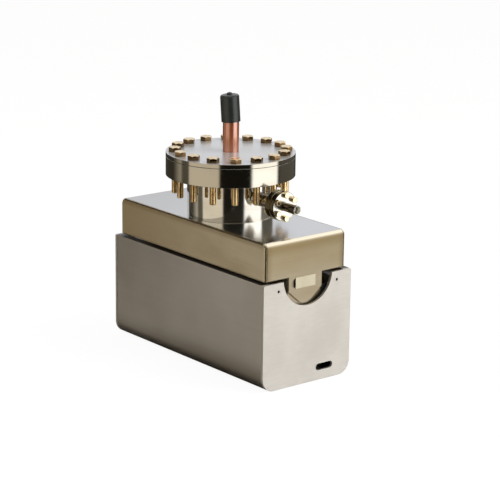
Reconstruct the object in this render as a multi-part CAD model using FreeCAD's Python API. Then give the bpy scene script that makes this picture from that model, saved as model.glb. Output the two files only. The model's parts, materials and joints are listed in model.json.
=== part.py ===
import FreeCAD, Part
import math
import os

Vector = FreeCAD.Vector
ORIGIN = Vector(0, 0, 0)
X_AXIS = Vector(1, 0, 0)
Y_AXIS = Vector(0, 1, 0)
Z_AXIS = Vector(0, 0, 1)

# Frame: millimetres, +Z up, origin at the bottom centre of the magnet housing.
# +X is the front, with the tag and the high-voltage port. -Y is the left side.

# Magnet housing
housing_length = 285.5
housing_height = 125.2
yoke_thickness = 9.5
yoke_corner_radius = 15.9
yoke_end_chamfer = 1.0
magnet_thickness = 28.6
magnet_count = 3
magnet_joint = 0.2
magnet_setback = 5.5
rest_bar_width = 26.0
rest_bar_height = 10.5
rest_bar_setback = 14.5
rest_bar_overlap = 6.5
retainer_width = 18.0
retainer_height = 10.0
retainer_drop = 4.7

# End plates
end_plate_thickness = 3.2
end_plate_corner = 2.0
notch_radius = 36.0
notch_rise = 3.5
slot_length = 25.0
slot_height = 8.0
slot_offset = 26.5
slot_centre_height = 15.3
plate_screw_offset = 43.0
plate_screw_radius = 2.0
plate_screw_length = 12.0
plate_screw_head_radius = 3.7
plate_screw_socket = 3.0
plate_screw_socket_depth = 1.6

# Pump box and the pocket below it
box_setback = 4.8
box_height = 43.6
box_lift = 2.2
sheet = 2.0
box_bend = 6.5
box_shoulder = 8.05
side_plate_thickness = 3.0
side_plate_edge = 2.0
pocket_width = 49.0
pocket_slip = 1.85
pocket_seat_gap = 0.3
pocket_bend = 4.0
tongue_reach = 33.4
tongue_flank_angle = 41.0
tongue_tip_radius = 15.0
tongue_hole_radius = 5.0
tongue_hole_offset = 14.5
tongue_hole_drop = 8.1

# Bare tag on the front tongue
tag_width = 29.0
tag_height = 13.0
tag_thickness = 0.6
tag_drop = 1.4

# Neck and main flange
neck_wall = 2.0
neck_length = 47.4
main_flange_radius = 75.8
main_flange_thickness = 21.8
main_gasket_inset = 4.8
main_gasket_width = 9.5
main_knife_inset = 2.7
main_knife_height = 1.0
main_knife_run = 2.7
gasket_thickness = 2.0
gasket_fit = 0.1
weld_fit = 0.05

# Blank cover and its bolts
cover_gap = 0.45
cover_thickness = 4.76
cover_bolt_count = 16
cover_bolt_inset = 10.7
cover_bolt_radius = 3.97
cover_bolt_length = 49.6
cover_bolt_flats = 12.7
cover_bolt_head = 5.5
bolt_play = 0.15
thread_fit = 0.05

# Copper pump-out tube and its slip-on cap
tube_radius = 9.525
tube_wall = 1.65
tube_straight = 34.1
tube_lean = 3.5
tube_lean_heading = -128.8
tube_round_length = 7.2
tube_pinch_length = 12.0
tube_flat_length = 10.9
tube_flat_thickness = 2.4
cap_bottom = 1.2
cap_play = 0.3
cap_wall = 1.275
cap_roof = 2.3
nub_radius = 2.6
nub_height = 2.8

# High-voltage port
port_drop = 20.0
port_reach = 8.2
nipple_radius = 7.94
nipple_wall = 1.65
port_flange_radius = 17.0
port_flange_thickness = 7.3
port_flange_gap = 1.0
port_gasket_outer = 10.65
port_gasket_inner = 8.3
port_bolt_count = 6
port_bolt_circle = 13.5
port_bolt_radius = 2.08
port_bolt_flats = 6.4
port_bolt_head = 4.2
port_bolt_overrun = 1.4
port_nut_height = 3.2

# Feedthrough, connector and lead
insulator_radius = 4.4
insulator_collar = 5.5
insulator_stem_radius = 2.5
insulator_stem_length = 16.4
shell_radius = 5.25
shell_wall = 0.7
shell_length = 21.9
pin_radius = 1.0
pin_reach = 1.0
pin_tail = 12.0
coupler_radius = 2.6
coupler_half_length = 5.0
lead_radius = 1.2
lead_place = 30.0
running_fit = 0.05

# Small or hidden round forms, bores and the port's rims are drawn with this many flats
small_sides = 8
ring_sides = 20
rim_sides = 48

# Pumping element inside the pocket
cell_wall = 0.6
cell_length = 25.4
cell_columns = 8
cell_rows = 3
cell_joint = 0.2
band_thickness = 1.2
band_clearance = 0.15
band_lift = 1.2
stand_off_radius = 4.0
stand_off_length = 9.0
stand_off_spread = 60.0
shield_radius = 6.4
shield_length = 6.0
shield_wall = 0.5
bracket_setback = 14.9
bracket_thickness = 1.5
bracket_lip = 7.0
bracket_headroom = 1.0
cathode_thickness = 1.6
cathode_wall_gap = 0.9
cathode_lift = 2.4

# Places that follow from the sizes
pocket_half = pocket_width / 2
magnet_inner = pocket_half + pocket_slip
magnet_outer = magnet_inner + magnet_thickness
housing_half_width = magnet_outer + yoke_thickness
yoke_half_length = housing_length / 2 - end_plate_thickness
rest_top = yoke_thickness + rest_bar_height
retainer_top = housing_height - retainer_drop
magnet_top = retainer_top - retainer_height
retainer_middle = retainer_top - retainer_height / 2
notch_centre = housing_height + notch_rise
box_bottom = housing_height + box_lift
box_top = box_bottom + box_height
box_half_length = housing_length / 2 - box_setback
pocket_end = box_half_length - sheet
pocket_inner_end = pocket_end - sheet
pocket_bottom = rest_top + pocket_seat_gap
pocket_floor = pocket_bottom + sheet
pocket_inner_half = pocket_half - sheet
cover_bolt_circle = main_flange_radius - cover_bolt_inset
main_gasket_outer = cover_bolt_circle - main_gasket_inset
main_knife_radius = main_gasket_outer - main_knife_inset
neck_radius = main_gasket_outer - main_gasket_width
neck_bore = neck_radius - neck_wall
box_half_width = neck_radius + box_shoulder
side_plate_inner = box_half_width - side_plate_thickness
flange_bottom = box_top + neck_length
flange_top = flange_bottom + main_flange_thickness
cover_bottom = flange_top + cover_gap
cover_top = cover_bottom + cover_thickness
groove_floor = cover_bottom - gasket_thickness - main_knife_height
port_height = flange_bottom - port_drop
port_back = main_flange_radius + port_reach
port_joint = port_back + port_flange_thickness
feedthrough_back = port_joint + port_flange_gap
feedthrough_face = feedthrough_back + port_flange_thickness
port_recess_depth = (gasket_thickness - port_flange_gap) / 2
nipple_bore = nipple_radius - nipple_wall
pin_inner_end = feedthrough_face - pin_tail
bracket_outer = pocket_inner_end - bracket_setback
bracket_inner = bracket_outer - bracket_thickness
band_end = bracket_inner - stand_off_length
cell_pitch = 2 * (band_end - band_thickness - band_clearance) / cell_columns
cell_flats = cell_pitch - cell_joint
cell_corner = cell_flats / math.sqrt(3)
row_pitch = cell_pitch * math.cos(math.radians(30))
array_bottom = pocket_floor + band_lift + band_thickness + band_clearance
array_top = array_bottom + (cell_rows - 1) * row_pitch + 2 * cell_corner
band_top = array_top + band_clearance + band_thickness
cathode_inner = pocket_inner_half - cathode_wall_gap - cathode_thickness
element_top = band_top + bracket_headroom


# Basic forms
def block(x_low, x_high, y_low, y_high, z_low, z_high):
    return Part.makeBox(x_high - x_low, y_high - y_low, z_high - z_low, Vector(x_low, y_low, z_low))


def rod(radius, z_low, z_high):
    return Part.makeCylinder(radius, z_high - z_low, Vector(0, 0, z_low))


def ring(outer, inner, z_low, z_high):
    return rod(outer, z_low, z_high).cut(rod(inner, z_low, z_high))


def corners_on(radius, height, sides):
    """Points at even steps round a circle, with the first one again at the end."""
    angles = [2 * math.pi * k / sides for k in range(sides + 1)]
    return [Vector(radius * math.cos(a), radius * math.sin(a), height) for a in angles]


def many_sided(radius, z_low, z_high, sides=small_sides):
    """An upright prism with its corners on a circle."""
    outline = Part.makePolygon(corners_on(radius, z_low, sides))
    return Part.Face(outline).extrude(Vector(0, 0, z_high - z_low))


def many_sided_taper(low_radius, high_radius, z_low, z_high, sides=small_sides):
    """A frustum with flat sides, whose corners run from one circle to another."""
    low = corners_on(low_radius, z_low, sides)
    high = corners_on(high_radius, z_high, sides)
    faces = [Part.Face(Part.makePolygon(low)), Part.Face(Part.makePolygon(high))]
    for k in range(sides):
        faces.append(Part.Face(Part.makePolygon([low[k], low[k + 1], high[k + 1], high[k], low[k]])))
    solid = Part.makeSolid(Part.makeShell(faces))
    solid.fix(0.001, 0.001, 0.001)
    return solid


def around(shape, count, first_angle=0.0):
    """Copies of a shape at even steps about Z."""
    copies = []
    for index in range(count):
        copy = shape.copy()
        copy.rotate(ORIGIN, Z_AXIS, first_angle + index * 360 / count)
        copies.append(copy)
    return copies


def turned_round(shape):
    copy = shape.copy()
    copy.rotate(ORIGIN, Z_AXIS, 180)
    return copy


def mirrored(shape, normal):
    return shape.mirror(ORIGIN, normal)


def on_port(shape):
    """Lays a shape built along Z onto the port's axis, which runs along X."""
    copy = shape.copy()
    copy.rotate(ORIGIN, Y_AXIS, 90)
    copy.translate(Vector(0, 0, port_height))
    return copy


def corner_arc(centre, radius, start_angle, make_point):
    """A quarter circle that starts at an angle in degrees and turns on by 90."""
    angles = [math.radians(start_angle + step) for step in (0, 45, 90)]
    points = [make_point(centre[0] + radius * math.cos(a), centre[1] + radius * math.sin(a)) for a in angles]
    return Part.Arc(*points).toShape()


def trough_face(half_width, bottom, top, radius, x):
    """The filled outline of a trough: flat top, two round lower corners."""
    def at(y, z):
        return Vector(x, y, z)

    left, right = -half_width, half_width
    edges = [
        Part.makeLine(at(left, top), at(left, bottom + radius)),
        corner_arc((left + radius, bottom + radius), radius, 180, at),
        Part.makeLine(at(left + radius, bottom), at(right - radius, bottom)),
        corner_arc((right - radius, bottom + radius), radius, 270, at),
        Part.makeLine(at(right, bottom + radius), at(right, top)),
        Part.makeLine(at(right, top), at(left, top)),
    ]
    return Part.Face(Part.Wire(edges))


def hood_face(half_length, bottom, top, radius, y):
    """The filled side outline of the box: flat bottom, two round upper corners."""
    def at(x, z):
        return Vector(x, y, z)

    back, front = -half_length, half_length
    edges = [
        Part.makeLine(at(front, bottom), at(front, top - radius)),
        corner_arc((front - radius, top - radius), radius, 0, at),
        Part.makeLine(at(front - radius, top), at(back + radius, top)),
        corner_arc((back + radius, top - radius), radius, 90, at),
        Part.makeLine(at(back, top - radius), at(back, bottom)),
        Part.makeLine(at(back, bottom), at(front, bottom)),
    ]
    return Part.Face(Part.Wire(edges))


def edges_on_plane(shape, axis, value):
    """The edges that lie wholly in the plane where one coordinate has a value."""
    low = axis + "Min"
    high = axis + "Max"
    near = 0.001
    found = []
    for edge in shape.Edges:
        box = edge.BoundBox
        if abs(getattr(box, low) - value) < near and abs(getattr(box, high) - value) < near:
            found.append(edge)
    return found


# Fasteners
def hexagon(flats, z_low, z_high):
    return many_sided(flats / math.sqrt(3), z_low, z_high, 6)


def hexagon_bolt(radius, length, flats, head_height):
    """A bolt with its head standing on z = 0 and its shank below."""
    return hexagon(flats, 0, head_height).fuse(many_sided(radius, -length, 0)).removeSplitter()


def countersunk_form(fit):
    """The outline of a flush screw along X, with its head in the plane x = 0."""
    head = plate_screw_head_radius + fit
    shank = plate_screw_radius + fit
    seat = shank - head
    form = many_sided_taper(shank, head, seat, 0).fuse(many_sided(shank, -plate_screw_length - fit, seat))
    form.rotate(ORIGIN, Y_AXIS, 90)
    return form.removeSplitter()


def countersunk_screw():
    socket = hexagon(plate_screw_socket, -plate_screw_socket_depth, 0)
    socket.rotate(ORIGIN, Y_AXIS, 90)
    return countersunk_form(0).cut(socket)


# Magnet housing
def yoke_trough():
    outer = trough_face(housing_half_width, 0, housing_height, yoke_corner_radius, -yoke_half_length)
    shell = outer.extrude(Vector(2 * yoke_half_length, 0, 0))
    ends = edges_on_plane(shell, "X", -yoke_half_length) + edges_on_plane(shell, "X", yoke_half_length)
    shell = shell.makeChamfer(yoke_end_chamfer, ends)
    inner_radius = yoke_corner_radius - yoke_thickness
    inner = trough_face(magnet_outer, yoke_thickness, housing_height, inner_radius, -yoke_half_length)
    return shell.cut(inner.extrude(Vector(2 * yoke_half_length, 0, 0)))


def at_plate_screws(form):
    """A form put at both screw places of the front end plate."""
    placed = []
    for side in (-1, 1):
        copy = form.copy()
        copy.translate(Vector(housing_length / 2, side * plate_screw_offset, retainer_middle))
        placed.append(copy)
    return placed


def cable_slot(back, front):
    """A block with a round end at each side."""
    end_radius = slot_height / 2
    straight = slot_length / 2 - end_radius
    centre = slot_centre_height
    left, right = slot_offset - straight, slot_offset + straight
    slot = block(back, front, left, right, centre - end_radius, centre + end_radius)
    for middle in (left, right):
        slot = slot.fuse(Part.makeCylinder(end_radius, front - back, Vector(back, middle, centre), X_AXIS))
    return slot.removeSplitter()


def end_plate():
    back = yoke_half_length
    front = housing_length / 2
    plate = trough_face(housing_half_width, 0, housing_height, yoke_corner_radius, back)
    plate = plate.extrude(Vector(end_plate_thickness, 0, 0))
    top_corners = [
        edge for edge in edges_on_plane(plate, "Z", housing_height)
        if edge.BoundBox.XLength > end_plate_thickness / 2
    ]
    plate = plate.makeFillet(end_plate_corner, top_corners)
    notch = Part.makeCylinder(notch_radius, end_plate_thickness, Vector(back, 0, notch_centre), X_AXIS)
    plate = plate.cut(notch)
    plate = plate.cut(cable_slot(back, front))
    return plate.cut(Part.makeCompound(at_plate_screws(countersunk_form(thread_fit))))


def end_plate_screws():
    front = at_plate_screws(countersunk_screw())
    return front + [turned_round(screw) for screw in front]


def magnet_row():
    """The row on the +Y side, black blocks end to end."""
    row_half = yoke_half_length - magnet_setback
    length = (2 * row_half - (magnet_count - 1) * magnet_joint) / magnet_count
    blocks = []
    for index in range(magnet_count):
        start = -row_half + index * (length + magnet_joint)
        blocks.append(block(start, start + length, magnet_inner, magnet_outer, rest_top, magnet_top))
    return blocks


def rest_bar():
    """Carries the magnets' lower edge and the pocket's lower corner."""
    half = yoke_half_length - rest_bar_setback
    inner = pocket_half - rest_bar_overlap
    return block(-half, half, inner, inner + rest_bar_width, yoke_thickness, rest_top)


def magnet_retainer():
    """Lies on the magnets against the yoke's wall and takes the end-plate screws."""
    half = yoke_half_length
    bar = block(-half, half, magnet_outer - retainer_width, magnet_outer, magnet_top, retainer_top)
    holes = at_plate_screws(countersunk_form(thread_fit))
    bar = bar.cut(Part.makeCompound(holes))
    return bar.cut(Part.makeCompound([mirrored(hole, X_AXIS) for hole in holes]))


# Pump box
def tongue():
    """The part of the front end sheet that hangs in the notch, tapered to a round tip."""
    angle = math.radians(tongue_flank_angle)
    tip_bottom = box_bottom - tongue_reach
    centre = tip_bottom + tongue_tip_radius
    tangent_y = tongue_tip_radius * math.sin(angle)
    tangent_z = centre - tongue_tip_radius * math.cos(angle)
    shoulder = tangent_z + (pocket_half - tangent_y) * math.tan(angle)

    def at(y, z):
        return Vector(pocket_end, y, z)

    edges = [
        Part.makeLine(at(-pocket_half, box_bottom), at(-pocket_half, shoulder)),
        Part.makeLine(at(-pocket_half, shoulder), at(-tangent_y, tangent_z)),
        Part.Arc(at(-tangent_y, tangent_z), at(0, tip_bottom), at(tangent_y, tangent_z)).toShape(),
        Part.makeLine(at(tangent_y, tangent_z), at(pocket_half, shoulder)),
        Part.makeLine(at(pocket_half, shoulder), at(pocket_half, box_bottom)),
        Part.makeLine(at(pocket_half, box_bottom), at(-pocket_half, box_bottom)),
    ]
    form = Part.Face(Part.Wire(edges)).extrude(Vector(sheet, 0, 0))
    hole = many_sided(tongue_hole_radius, pocket_end, box_half_length, ring_sides)
    hole.rotate(ORIGIN, Y_AXIS, 90)
    hole.translate(Vector(0, -tongue_hole_offset, box_bottom - tongue_hole_drop))
    return form.cut(hole)


def box_top_sheet():
    """One sheet bent down at both ends, with the neck's hole and two tongues."""
    along = Vector(0, 2 * side_plate_inner, 0)
    outer = hood_face(box_half_length, box_bottom, box_top, box_bend, -side_plate_inner).extrude(along)
    inner_top = box_top - sheet
    inner = hood_face(pocket_end, box_bottom, inner_top, box_bend - sheet, -side_plate_inner).extrude(along)
    hood = outer.cut(inner).cut(rod(neck_bore, box_bottom, box_top))
    return hood.fuse([tongue(), turned_round(tongue())]).removeSplitter()


def box_side():
    """The plate on the +Y side, its outer edge rounded."""
    plate = hood_face(box_half_length, box_bottom, box_top, box_bend, side_plate_inner)
    plate = plate.extrude(Vector(0, side_plate_thickness, 0))
    rim = [
        edge for edge in edges_on_plane(plate, "Y", box_half_width)
        if edge.BoundBox.ZMax > box_bottom + sheet
    ]
    return plate.makeChamfer(side_plate_edge, rim)


def box_floor():
    top = box_bottom + sheet
    plate = block(-pocket_end, pocket_end, -side_plate_inner, side_plate_inner, box_bottom, top)
    opening = block(
        -pocket_inner_end, pocket_inner_end, -pocket_inner_half, pocket_inner_half, box_bottom, top)
    return plate.cut(opening)


def element_pocket():
    """The folded sheet that goes down between the magnets."""
    along = Vector(2 * pocket_inner_end, 0, 0)
    outer = trough_face(pocket_half, pocket_bottom, box_bottom, pocket_bend, -pocket_inner_end)
    inner = trough_face(pocket_inner_half, pocket_floor, box_bottom, pocket_bend - sheet, -pocket_inner_end)
    return outer.extrude(along).cut(inner.extrude(along))


def pocket_cap():
    """Closes the front end of the pocket behind the tongue."""
    outline = trough_face(pocket_half, pocket_bottom, box_bottom, pocket_bend, pocket_inner_end)
    return outline.extrude(Vector(sheet, 0, 0))


def blank_tag():
    top = box_bottom - tag_drop
    half = tag_width / 2
    return block(box_half_length, box_half_length + tag_thickness, -half, half, top - tag_height, top)


# Neck, main flange with its knife edge, and cover
def neck_tube():
    tube = ring(neck_radius, neck_bore, box_top, groove_floor)
    hole = many_sided(nipple_bore, 0, neck_radius + neck_wall)
    return tube.cut(on_port(hole))


def cover_bolt_holes(play, z_low, z_high):
    hole = many_sided(cover_bolt_radius + play, z_low, z_high)
    hole.translate(Vector(cover_bolt_circle, 0, 0))
    return Part.makeCompound(around(hole, cover_bolt_count, 180 / cover_bolt_count))


def knife_edge():
    """The raised ring in the flange's recess: steep outside, sloping down inside."""
    top = groove_floor + main_knife_height
    rim = many_sided(main_knife_radius, groove_floor, top, ring_sides)
    foot = main_knife_radius - main_knife_run
    return rim.cut(many_sided_taper(foot, main_knife_radius, groove_floor, top, ring_sides))


def main_flange():
    body = ring(main_flange_radius, neck_radius + weld_fit, flange_bottom, flange_top)
    body = body.cut(many_sided(main_gasket_outer + gasket_fit, groove_floor, flange_top, ring_sides))
    body = body.fuse(knife_edge()).removeSplitter()
    return body.cut(cover_bolt_holes(thread_fit, flange_bottom, flange_top))


def flat_gasket(outer, inner, bottom):
    top = bottom + gasket_thickness
    return many_sided(outer, bottom, top, ring_sides).cut(many_sided(inner, bottom, top, ring_sides))


def main_gasket():
    return flat_gasket(main_gasket_outer, neck_radius + gasket_fit, cover_bottom - gasket_thickness)


def cover_bolts():
    bolt = hexagon_bolt(cover_bolt_radius, cover_bolt_length, cover_bolt_flats, cover_bolt_head)
    bolt.translate(Vector(cover_bolt_circle, 0, cover_top))
    return around(bolt, cover_bolt_count, 180 / cover_bolt_count)


def blank_cover():
    plate = ring(main_flange_radius, tube_radius + weld_fit, cover_bottom, cover_top)
    return plate.cut(cover_bolt_holes(bolt_play, cover_bottom, cover_top))


# Copper tube and cap: upright, then leaning over a little with a pinched end
lean_angle = math.radians(tube_lean_heading)
lean_hinge = Vector(-math.sin(lean_angle), math.cos(lean_angle), 0)
lean_base = Vector(0, 0, cover_top + tube_straight)
leaning_length = tube_round_length + tube_pinch_length + tube_flat_length


def tilted(shape, angle):
    """Moves a shape built upwards from the origin onto the tube's kink and leans it over."""
    copy = shape.copy()
    copy.translate(lean_base)
    copy.rotate(lean_base, lean_hinge, angle)
    return copy


def pump_out_tube():
    flat = tube_flat_thickness / 2
    pinch_top = tube_round_length + tube_pinch_length
    jaw_points = [
        (flat, leaning_length),
        (flat, pinch_top),
        (tube_radius, tube_round_length),
        (tube_radius, leaning_length),
    ]
    outline = [Vector(x, -tube_radius, z) for x, z in jaw_points]
    jaw = Part.Face(Part.makePolygon(outline + outline[:1])).extrude(Vector(0, 2 * tube_radius, 0))
    end = rod(tube_radius, -tube_radius, leaning_length).cut(jaw).cut(mirrored(jaw, X_AXIS))
    reach = 2 * tube_radius
    above_kink = tilted(block(-reach, reach, -reach, reach, 0, leaning_length + reach), tube_lean / 2)
    upper = tilted(end, tube_lean).common(above_kink)
    lower = rod(tube_radius, cover_bottom, lean_base.z + tube_radius).cut(above_kink)
    tube = lower.fuse(upper).removeSplitter()
    return tube.cut(many_sided(tube_radius - tube_wall, cover_bottom, lean_base.z, ring_sides))


def tube_cap():
    inner = tube_radius + cap_play
    ceiling = leaning_length + cap_play
    top = ceiling + cap_roof
    body = rod(inner + cap_wall, cap_bottom, top).cut(many_sided(inner, cap_bottom, ceiling, ring_sides))
    nub = many_sided(nub_radius, top, top + nub_height)
    return tilted(body.fuse(nub).removeSplitter(), tube_lean)


# High-voltage port, built along Z and laid onto the port's axis
def port_nipple():
    bore = many_sided(nipple_bore, neck_bore, port_back, ring_sides)
    pipe = on_port(rod(nipple_radius, neck_bore, port_back).cut(bore))
    return pipe.cut(rod(neck_radius + weld_fit, box_top, flange_bottom))


def small_flange(bore):
    """Half of the port's flange pair, built with its sealing face up."""
    top = port_flange_thickness
    hole = many_sided(port_bolt_radius + bolt_play, 0, top)
    hole.translate(Vector(port_bolt_circle, 0, 0))
    recess = many_sided(port_gasket_outer + gasket_fit, top - port_recess_depth, top, ring_sides)
    disc = many_sided(port_flange_radius, 0, top, rim_sides)
    return disc.cut([recess, bore] + around(hole, port_bolt_count))


def port_flange():
    flange = small_flange(many_sided(nipple_bore, 0, port_flange_thickness, ring_sides))
    flange.translate(Vector(0, 0, port_back))
    return on_port(flange)


def feedthrough_flange():
    flange = small_flange(many_sided(insulator_radius + weld_fit, 0, port_flange_thickness, ring_sides))
    flange = mirrored(flange, Z_AXIS)
    flange.translate(Vector(0, 0, feedthrough_face))
    return on_port(flange)


def port_gasket():
    return on_port(flat_gasket(port_gasket_outer, port_gasket_inner, port_joint - port_recess_depth))


def port_bolts():
    length = feedthrough_face - port_back + port_nut_height + port_bolt_overrun
    bolt = hexagon_bolt(port_bolt_radius, length, port_bolt_flats, port_bolt_head)
    bolt.translate(Vector(port_bolt_circle, 0, feedthrough_face))
    return [on_port(copy) for copy in around(bolt, port_bolt_count)]


def port_nuts():
    nut = hexagon(port_bolt_flats, port_back - port_nut_height, port_back)
    nut = nut.cut(many_sided(port_bolt_radius + thread_fit, port_back - port_nut_height, port_back))
    nut.translate(Vector(port_bolt_circle, 0, 0))
    return [on_port(copy) for copy in around(nut, port_bolt_count)]


def feedthrough_insulator():
    """A ceramic collar in the flange with a long stem around the pin."""
    collar = many_sided(insulator_radius, feedthrough_face - insulator_collar, feedthrough_face, ring_sides)
    stem = many_sided(insulator_stem_radius, feedthrough_face, feedthrough_face + insulator_stem_length)
    bore = many_sided(pin_radius + running_fit, pin_inner_end, feedthrough_face + insulator_stem_length)
    return on_port(collar.fuse(stem).removeSplitter().cut(bore))


def connector_shell():
    end = feedthrough_face + shell_length
    bore = many_sided(shell_radius - shell_wall, feedthrough_face, end, ring_sides)
    return on_port(rod(shell_radius, feedthrough_face, end).cut(bore))


def feedthrough_pin():
    tip = feedthrough_face + insulator_stem_length + pin_reach
    return on_port(many_sided(pin_radius, pin_inner_end, tip))


def lead_coupler():
    """A sleeve that joins the lead to the pin end to end."""
    back = pin_inner_end - coupler_half_length
    front = pin_inner_end + coupler_half_length
    sleeve = many_sided(coupler_radius, back, front)
    sleeve = sleeve.cut(many_sided(lead_radius + running_fit, back, pin_inner_end))
    return on_port(sleeve.cut(many_sided(pin_radius + running_fit, pin_inner_end, front)))


def high_voltage_lead():
    """A bare rod from the pin along the port, then down to the anode."""
    level = on_port(many_sided(lead_radius, lead_place, pin_inner_end))
    upright = many_sided(lead_radius, band_top, port_height)
    upright.translate(Vector(lead_place, 0, 0))
    return level.fuse(upright).removeSplitter()


# Pumping element
def anode_cells():
    """Six-sided cells of thin strip across the pocket, every second row set over by half a cell."""
    half = cell_length / 2
    cell = hexagon(cell_flats, -half, half).cut(hexagon(cell_flats - 2 * cell_wall, -half, half))
    cell.rotate(ORIGIN, X_AXIS, 90)
    cell.rotate(ORIGIN, Y_AXIS, 30)
    cells = []
    for row in range(cell_rows):
        in_row = cell_columns - row % 2
        for column in range(in_row):
            copy = cell.copy()
            x = (column - (in_row - 1) / 2) * cell_pitch
            copy.translate(Vector(x, 0, array_bottom + cell_corner + row * row_pitch))
            cells.append(copy)
    return cells


def anode_band():
    """The strip that runs all round the cells and holds them."""
    half = cell_length / 2
    inner_end = band_end - band_thickness
    band_bottom = array_bottom - band_clearance - band_thickness
    outer = block(-band_end, band_end, -half, half, band_bottom, band_top)
    inner_bottom = band_bottom + band_thickness
    return outer.cut(block(-inner_end, inner_end, -half, half, inner_bottom, band_top - band_thickness))


def at_stand_offs(form):
    """A form built upwards from the origin, laid outwards at all four stand-off places."""
    middle = (array_bottom + array_top) / 2
    placed = []
    for side in (-1, 1):
        copy = form.copy()
        copy.rotate(ORIGIN, Y_AXIS, 90)
        copy.translate(Vector(band_end, 0, middle + side * stand_off_spread / 2))
        placed.append(copy)
    return placed + [turned_round(copy) for copy in placed]


def stand_offs():
    return at_stand_offs(many_sided(stand_off_radius, 0, stand_off_length))


def sputter_shields():
    """A cup on the anode side round each ceramic, open toward the bracket."""
    cup = many_sided(shield_radius, 0, shield_length)
    cup = cup.cut(many_sided(shield_radius - shield_wall, shield_wall, shield_length))
    return at_stand_offs(cup.cut(many_sided(stand_off_radius + running_fit, 0, shield_wall)))


def element_bracket():
    """The folded end piece that stands on the pocket's floor and carries the element."""
    web = block(bracket_inner, bracket_outer, -cathode_inner, cathode_inner, pocket_floor, element_top)
    lip_inner = cathode_inner - bracket_thickness
    lip_end = bracket_inner - bracket_lip
    lip = block(lip_end, bracket_inner, lip_inner, cathode_inner, pocket_floor, element_top)
    return web.fuse([lip, mirrored(lip, Y_AXIS)]).removeSplitter()


def cathode_plate():
    """The titanium plate on the +Y side, clamped to the brackets' lips."""
    return block(
        -bracket_outer, bracket_outer, cathode_inner, cathode_inner + cathode_thickness,
        pocket_floor + cathode_lift, element_top)


def model():
    front_plate = end_plate()
    front_cap = pocket_cap()
    front_bracket = element_bracket()
    right_row = magnet_row()
    return {
        "yoke_trough": yoke_trough(),
        "end_plate_front": front_plate,
        "end_plate_rear": turned_round(front_plate),
        "end_plate_screws": end_plate_screws(),
        "magnet_row_left": [mirrored(magnet, Y_AXIS) for magnet in right_row],
        "magnet_row_right": right_row,
        "magnet_retainer_left": mirrored(magnet_retainer(), Y_AXIS),
        "magnet_retainer_right": magnet_retainer(),
        "rest_bar_left": mirrored(rest_bar(), Y_AXIS),
        "rest_bar_right": rest_bar(),
        "box_top_sheet": box_top_sheet(),
        "box_side_left": mirrored(box_side(), Y_AXIS),
        "box_side_right": box_side(),
        "box_floor": box_floor(),
        "element_pocket": element_pocket(),
        "pocket_end_front": front_cap,
        "pocket_end_rear": turned_round(front_cap),
        "blank_tag": blank_tag(),
        "neck_tube": neck_tube(),
        "main_flange": main_flange(),
        "main_gasket": main_gasket(),
        "blank_cover": blank_cover(),
        "cover_bolts": cover_bolts(),
        "pump_out_tube": pump_out_tube(),
        "tube_cap": tube_cap(),
        "port_nipple": port_nipple(),
        "port_flange": port_flange(),
        "port_gasket": port_gasket(),
        "feedthrough_flange": feedthrough_flange(),
        "port_bolts": port_bolts(),
        "port_nuts": port_nuts(),
        "feedthrough_insulator": feedthrough_insulator(),
        "connector_shell": connector_shell(),
        "feedthrough_pin": feedthrough_pin(),
        "lead_coupler": lead_coupler(),
        "high_voltage_lead": high_voltage_lead(),
        "anode_cells": anode_cells(),
        "anode_band": anode_band(),
        "stand_offs": stand_offs(),
        "sputter_shields": sputter_shields(),
        "element_bracket_front": front_bracket,
        "element_bracket_rear": turned_round(front_bracket),
        "cathode_plate_left": mirrored(cathode_plate(), Y_AXIS),
        "cathode_plate_right": cathode_plate(),
    }


os.makedirs("parts", exist_ok=True)
for name, piece in model().items():
    shape = Part.makeCompound(piece) if isinstance(piece, list) else piece
    shape.exportStep("parts/" + name + ".step")
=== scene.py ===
import json
import math
import random

import bpy
from mathutils import Matrix, Vector


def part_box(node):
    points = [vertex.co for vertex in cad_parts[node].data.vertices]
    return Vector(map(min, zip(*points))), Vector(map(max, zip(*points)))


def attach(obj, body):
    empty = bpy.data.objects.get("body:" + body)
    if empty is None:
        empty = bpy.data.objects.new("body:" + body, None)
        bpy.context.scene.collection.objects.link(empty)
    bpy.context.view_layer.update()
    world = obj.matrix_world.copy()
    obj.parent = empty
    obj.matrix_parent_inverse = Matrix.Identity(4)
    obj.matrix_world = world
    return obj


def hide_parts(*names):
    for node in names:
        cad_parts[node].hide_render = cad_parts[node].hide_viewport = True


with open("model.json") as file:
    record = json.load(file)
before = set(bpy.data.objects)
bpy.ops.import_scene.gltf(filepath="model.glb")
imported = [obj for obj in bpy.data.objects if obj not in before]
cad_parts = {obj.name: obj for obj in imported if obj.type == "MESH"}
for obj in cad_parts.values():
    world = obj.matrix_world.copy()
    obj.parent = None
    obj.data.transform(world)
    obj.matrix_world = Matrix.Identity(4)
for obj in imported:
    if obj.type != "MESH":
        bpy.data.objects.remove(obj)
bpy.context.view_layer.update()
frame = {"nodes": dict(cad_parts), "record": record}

MM = 0.001
WHITE = (1, 1, 1, 1)
random.seed(7)


# Places on the pump
PORT_HEIGHT = (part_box("port_flange")[0].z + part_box("port_flange")[1].z) / 2
ALONG_PORT = Matrix.Translation((0, 0, PORT_HEIGHT)) @ Matrix.Rotation(math.pi / 2, 4, "Y")
NECK_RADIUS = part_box("neck_tube")[1].x
BOX_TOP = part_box("box_top_sheet")[1].z
BOX_HALF_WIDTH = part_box("box_top_sheet")[1].y
COVER_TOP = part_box("blank_cover")[1].z
PLATE_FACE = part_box("end_plate_front")[1].x

# Along the pump, painted light and shade make the box and trough darkest at the far end and
# palest toward the tagged end, between these
DARK_END, PALE_END = -160 * MM, 110 * MM


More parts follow.
